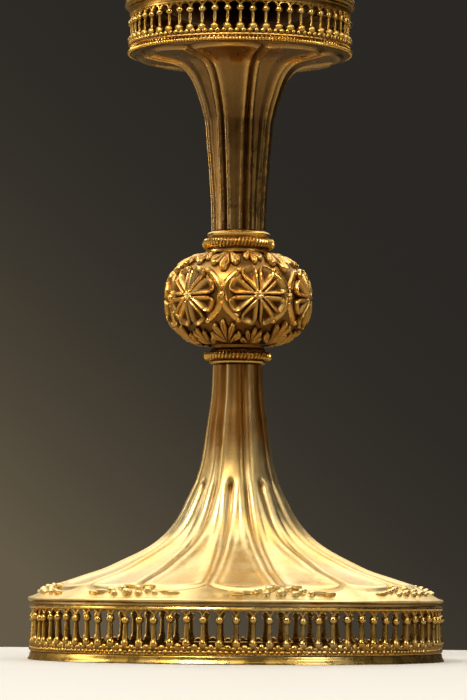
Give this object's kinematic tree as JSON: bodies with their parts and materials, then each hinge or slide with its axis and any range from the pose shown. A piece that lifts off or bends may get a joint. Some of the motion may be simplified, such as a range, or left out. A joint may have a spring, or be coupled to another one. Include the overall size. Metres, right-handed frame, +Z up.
{
  "type": "ciborium",
  "caption": "Gilded ciborium: fluted foot on a pierced baluster gallery, knop with rosettes, round bowl in an upper gallery, hinged flared lid with a cross.",
  "frame": {"origin": "centre of the flat face the foot stands on", "axes": "+Z up along the stem, -Y the front with the lid's thumb piece, +Y the back with the lid's hinge"},
  "size_m": [0.1516, 0.1516, 0.3802],
  "materials": {
    "sheet_gilt": "polished gilding on raised sheet, worn pale on the foot",
    "cast_gilt": "gilded cast metal, satin, dark in the recesses",
    "wire_gilt": "gilded twisted wire, satin",
    "iron": "dull forged iron, hidden inside"
  },
  "bodies": {
    "vessel": {"base_ring": "cast_gilt", "bowl": "sheet_gilt", "bowl_boss": "sheet_gilt", "bowl_hinge_leaf": "cast_gilt", "bowl_rim_ring": "cast_gilt", "crown_ring": "cast_gilt", "foot_arcade_1": "cast_gilt", "foot_arcade_2": "cast_gilt", "foot_arcade_3": "cast_gilt", "foot_arcade_4": "cast_gilt", "foot_arcade_5": "cast_gilt", "foot_arcade_6": "cast_gilt", "foot_arcade_7": "cast_gilt", "foot_arcade_8": "cast_gilt", "foot_shell": "sheet_gilt", "gallery_base_ring": "cast_gilt", "gallery_floor": "sheet_gilt", "hinge_pin": "cast_gilt", "knop_lower_shell": "sheet_gilt", "knop_rosette_1": "cast_gilt", "knop_rosette_2": "cast_gilt", "knop_rosette_3": "cast_gilt", "knop_rosette_4": "cast_gilt", "knop_rosette_5": "cast_gilt", "knop_rosette_6": "cast_gilt", "knop_upper_shell": "sheet_gilt", "lower_collar": "cast_gilt", "lower_collar_wire": "wire_gilt", "stem_nut": "iron", "stem_rod": "iron", "stem_washer": "iron", "upper_arcade_1": "cast_gilt", "upper_arcade_2": "cast_gilt", "upper_arcade_3": "cast_gilt", "upper_arcade_4": "cast_gilt", "upper_arcade_5": "cast_gilt", "upper_arcade_6": "cast_gilt", "upper_collar": "cast_gilt", "upper_collar_wire": "wire_gilt", "upper_stem_shell": "sheet_gilt"},
    "lid": {"finial_collar": "wire_gilt", "finial_cross": "cast_gilt", "finial_knop": "cast_gilt", "finial_pin": "iron", "lid_bezel": "sheet_gilt", "lid_hinge_leaf": "cast_gilt", "lid_rim_ring": "cast_gilt", "lid_shell": "sheet_gilt", "lid_thumb_piece": "cast_gilt"}
  },
  "joints": [
    {"name": "lid_hinge", "type": "hinge", "parent": "vessel", "child": "lid", "pos_m": [0, 0.0546, 0.28415], "axis": [-1, 0, 0], "range_deg": [0, 105]}
  ]
}
